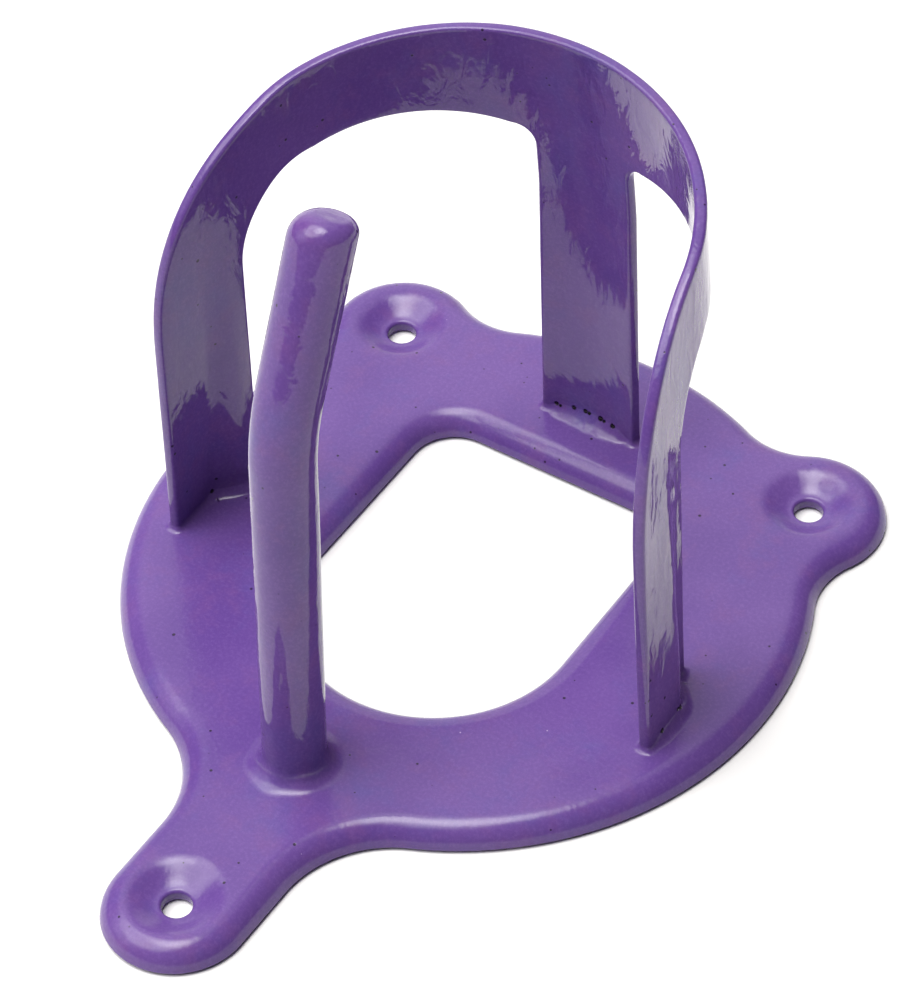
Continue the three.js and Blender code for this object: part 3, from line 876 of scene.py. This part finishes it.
def make_plastic():
    """Dipped plastic: purple with slow mottling, runs, orange peel, specks, and pinholes painted near
    black as the shade inside them.
    """
    material, tree, shader = node_material("purple_dip")
    nodes = Nodes(tree)
    slow = nodes.noise(28, 2.0)
    colour = nodes.mix(nodes.ramp(slow, 0.35, 0.65), PURPLE_DARK, PURPLE_LIGHT)
    pink = nodes.noise(9, 4.0, 0.65)
    colour = nodes.mix(nodes.ramp(pink, 0.52, 0.70, 0.0, 0.45), colour, PINK_TINT)
    blue = nodes.noise(12, 5.0, 0.65, nodes.stretch((0.8, 0.8, 0.5)))
    colour = nodes.mix(nodes.ramp(blue, 0.54, 0.72, 0.0, 0.55), colour, BLUE_TINT)
    grain = nodes.noise(0.8, 4.0, 0.8)
    colour = nodes.mix(nodes.ramp(grain, 0.35, 0.60, 0.20, 0.0), colour, GRAIN_DARK)
    colour = nodes.mix(nodes.ramp(grain, 0.50, 0.75, 0.0, 0.16), colour, GRAIN_LIGHT)
    dark_specks = speck_share(nodes, 3.2, 0.46, 0.45)
    colour = nodes.mix(nodes.math("MULTIPLY", dark_specks, 0.9), colour, SPECK_DARK)
    pale_specks = speck_share(nodes, 5.0, 0.22, 0.86)
    colour = nodes.mix(nodes.math("MULTIPLY", pale_specks, 0.55), colour, SPECK_PALE)
    # The pinholes get a bump and a near-black colour; the colour is painted shade inside the holes.
    pinholes = pinhole_share(nodes)
    colour = nodes.mix(pinholes, colour, PINHOLE_SHADE)
    tree.links.new(colour, shader.inputs["Base Color"])

    # The plastic has settled to a satin skin on the plate, and has run down the upright pieces.
    settled = plate_share(nodes)
    wear = nodes.ramp(nodes.noise(14, 4.0, 0.65), 0.35, 0.75, *GLOSS)
    satin = nodes.math("MULTIPLY", settled, SATIN)
    tree.links.new(nodes.math("ADD", wear, satin), shader.inputs["Roughness"])
    shader.inputs["IOR"].default_value = 1.52
    shader.inputs["Specular IOR Level"].default_value = 0.36

    runs = nodes.noise(4.4, 3.0, 0.45, nodes.stretch((1.0, 1.0, 0.45)), 1.0)
    runs = nodes.math("MULTIPLY", runs, nodes.ramp(settled, 0.0, 1.0, 1.0, PLATE_RUNS))
    peel = nodes.noise(1.1, 3.0, 0.6)
    normal = nodes.bump(runs, RUN_DEPTH)
    normal = nodes.bump(peel, PEEL_DEPTH, normal)
    normal = nodes.bump(dark_specks, SPECK_DEPTH, normal)
    normal = nodes.bump(pinholes, PINHOLE_DEPTH, normal)
    tree.links.new(normal, shader.inputs["Normal"])
    return material


STEEL_GREY, STEEL_SCALE, RUST = (0.42, 0.43, 0.45), (0.16, 0.17, 0.20), (0.22, 0.09, 0.04)
WELD_GREY, WELD_STRAW, WELD_BLUE = (0.30, 0.29, 0.28), (0.24, 0.18, 0.11), (0.10, 0.12, 0.20)


def make_steel():
    """Mild steel as rolled: grey with blue-black scale, a little rust and fine rolling lines."""
    material, tree, shader = node_material("bare_steel")
    nodes = Nodes(tree)
    scale = nodes.noise(11, 4.0, 0.6)
    colour = nodes.mix(nodes.ramp(scale, 0.40, 0.60), STEEL_GREY, STEEL_SCALE)
    rust = nodes.noise(6, 5.0, 0.7)
    rust_share = nodes.ramp(rust, 0.60, 0.72, 0.0, 0.8)
    colour = nodes.mix(rust_share, colour, RUST)
    tree.links.new(colour, shader.inputs["Base Color"])
    tree.links.new(nodes.ramp(rust_share, 0.0, 0.8, 0.95, 0.1), shader.inputs["Metallic"])
    lines = nodes.noise(0.5, 2.0, 0.5, nodes.stretch((1.0, 0.06, 1.0)))
    tree.links.new(nodes.ramp(lines, 0.3, 0.7, 0.32, 0.55), shader.inputs["Roughness"])
    tree.links.new(nodes.bump(scale, 0.04, nodes.bump(lines, 0.01)), shader.inputs["Normal"])
    return material


def make_weld():
    """Weld metal: dark and rippled, with straw and blue heat colours and pits."""
    material, tree, shader = node_material("weld_steel")
    nodes = Nodes(tree)
    heat = nodes.noise(5, 2.0, 0.5)
    colour = nodes.mix(nodes.ramp(heat, 0.35, 0.55), WELD_GREY, WELD_STRAW)
    colour = nodes.mix(nodes.ramp(heat, 0.55, 0.70), colour, WELD_BLUE)
    tree.links.new(colour, shader.inputs["Base Color"])
    shader.inputs["Metallic"].default_value = 0.9
    ripples = nodes.noise(1.3, 3.0, 0.55)
    tree.links.new(nodes.ramp(ripples, 0.3, 0.7, 0.38, 0.62), shader.inputs["Roughness"])
    pits = speck_share(nodes, 1.6, 0.25, 0.7)
    tree.links.new(nodes.bump(ripples, 0.25, nodes.bump(pits, -0.12)), shader.inputs["Normal"])
    return material


plastic = make_plastic()
steel = make_steel()
weld = make_weld()

for name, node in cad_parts.items():
    node.data.materials.clear()
    node.data.materials.append(weld if name.startswith("weld") else steel)

skins = ((make_plate, "plate_coating"), (make_arch, "arch_coating"), (make_bar, "hook_coating"))
for make, cad_node in skins:
    piece = make(plastic)
    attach(piece, "root")
    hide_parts(cad_node)

# --- Floor, light and camera --------------------------------------------------------------------


# In metres: half of the floor's side, and how far it lies under the wall plane.
FLOOR_REACH = 6.0
FLOOR_GAP = 0.0003
FLOOR_COLOUR = (0.80, 0.80, 0.80, 1)


def make_floor():
    mesh = bpy.data.meshes.new("floor")
    corners = [(x * FLOOR_REACH, y * FLOOR_REACH, 0) for x, y in ((-1, -1), (1, -1), (1, 1), (-1, 1))]
    mesh.from_pydata(corners, [], [(0, 1, 2, 3)])
    floor = bpy.data.objects.new("floor", mesh)
    bpy.context.scene.collection.objects.link(floor)
    material, _, shader = node_material("pale_floor")
    shader.inputs["Base Color"].default_value = FLOOR_COLOUR
    shader.inputs["Roughness"].default_value = 0.8
    mesh.materials.append(material)
    floor.location.z = -FLOOR_GAP


# The studio round the object: soft lights over it and to the camera's left, weaker ones behind it,
# and near darkness elsewhere. Each has an azimuth from the camera's right and an elevation. It is at
# its full strength within its core, and fades out at its edge. All angles are in degrees.
CAMERA_AZIMUTH = 35.38
GLOWS = (
    dict(azimuth=180, elevation=68, core=22, edge=34, strength=4.8),
    dict(azimuth=190, elevation=86, core=2, edge=18, strength=8.0),
    dict(azimuth=180, elevation=32, core=8, edge=28, strength=1.4),
    dict(azimuth=90, elevation=57, core=10, edge=34, strength=1.2),
    dict(azimuth=90, elevation=8, core=10, edge=40, strength=1.1),
)
DARKEST = 0.04
LIGHT_COLOUR = (1.0, 0.985, 0.96, 1)


def make_sky():
    world = bpy.data.worlds.new("studio")
    world.use_nodes = True
    tree = world.node_tree
    nodes = Nodes(tree)
    direction = tree.nodes.new("ShaderNodeTexCoord").outputs["Generated"]
    strength = DARKEST
    for glow in GLOWS:
        azimuth = math.radians(glow["azimuth"] + CAMERA_AZIMUTH)
        elevation = math.radians(glow["elevation"])
        node = tree.nodes.new("ShaderNodeVectorMath")
        node.operation = "DOT_PRODUCT"
        tree.links.new(direction, node.inputs[0])
        node.inputs[1].default_value = (
            math.cos(elevation) * math.cos(azimuth),
            math.cos(elevation) * math.sin(azimuth),
            math.sin(elevation),
        )
        edge, core = math.cos(math.radians(glow["edge"])), math.cos(math.radians(glow["core"]))
        light = nodes.ramp(node.outputs["Value"], edge, core, 0.0, glow["strength"])
        strength = nodes.math("ADD", light, strength)
    background = tree.nodes["Background"]
    tree.links.new(strength, background.inputs["Strength"])
    background.inputs["Color"].default_value = LIGHT_COLOUR
    bpy.context.scene.world = world


make_floor()
scene = bpy.context.scene
scene.view_settings.view_transform = "Standard"
make_sky()

# The camera: its axes, from the azimuth and elevation it looks from and its roll.
AZIMUTH, ELEVATION, ROLL = math.radians(CAMERA_AZIMUTH), math.radians(46.371), math.radians(-2.797)
DISTANCE, ASIDE, ABOVE = 926.9, 1.93, 17.55
FOCAL_LENGTH, SENSOR = 154.9, 36.0
right = Vector((math.cos(AZIMUTH), math.sin(AZIMUTH), 0))
back = Vector((
    math.cos(ELEVATION) * math.sin(AZIMUTH),
    -math.cos(ELEVATION) * math.cos(AZIMUTH),
    math.sin(ELEVATION),
))
up = back.cross(right)
turned_right = math.cos(ROLL) * right + math.sin(ROLL) * up
turned_up = math.cos(ROLL) * up - math.sin(ROLL) * right
camera_data = bpy.data.cameras.new("camera")
camera_data.sensor_fit = "AUTO"
camera_data.sensor_width = SENSOR
camera_data.lens = FOCAL_LENGTH
camera_data.clip_start, camera_data.clip_end = 0.01, 50
camera = bpy.data.objects.new("camera", camera_data)
bpy.context.scene.collection.objects.link(camera)
place = Vector((0, DISC_Y, 0)) - ASIDE * turned_right + ABOVE * turned_up + DISTANCE * back
camera.matrix_world = Matrix((
    (turned_right.x, turned_up.x, back.x, place.x * MM),
    (turned_right.y, turned_up.y, back.y, place.y * MM),
    (turned_right.z, turned_up.z, back.z, place.z * MM),
    (0, 0, 0, 1),
))
bpy.context.scene.camera = camera
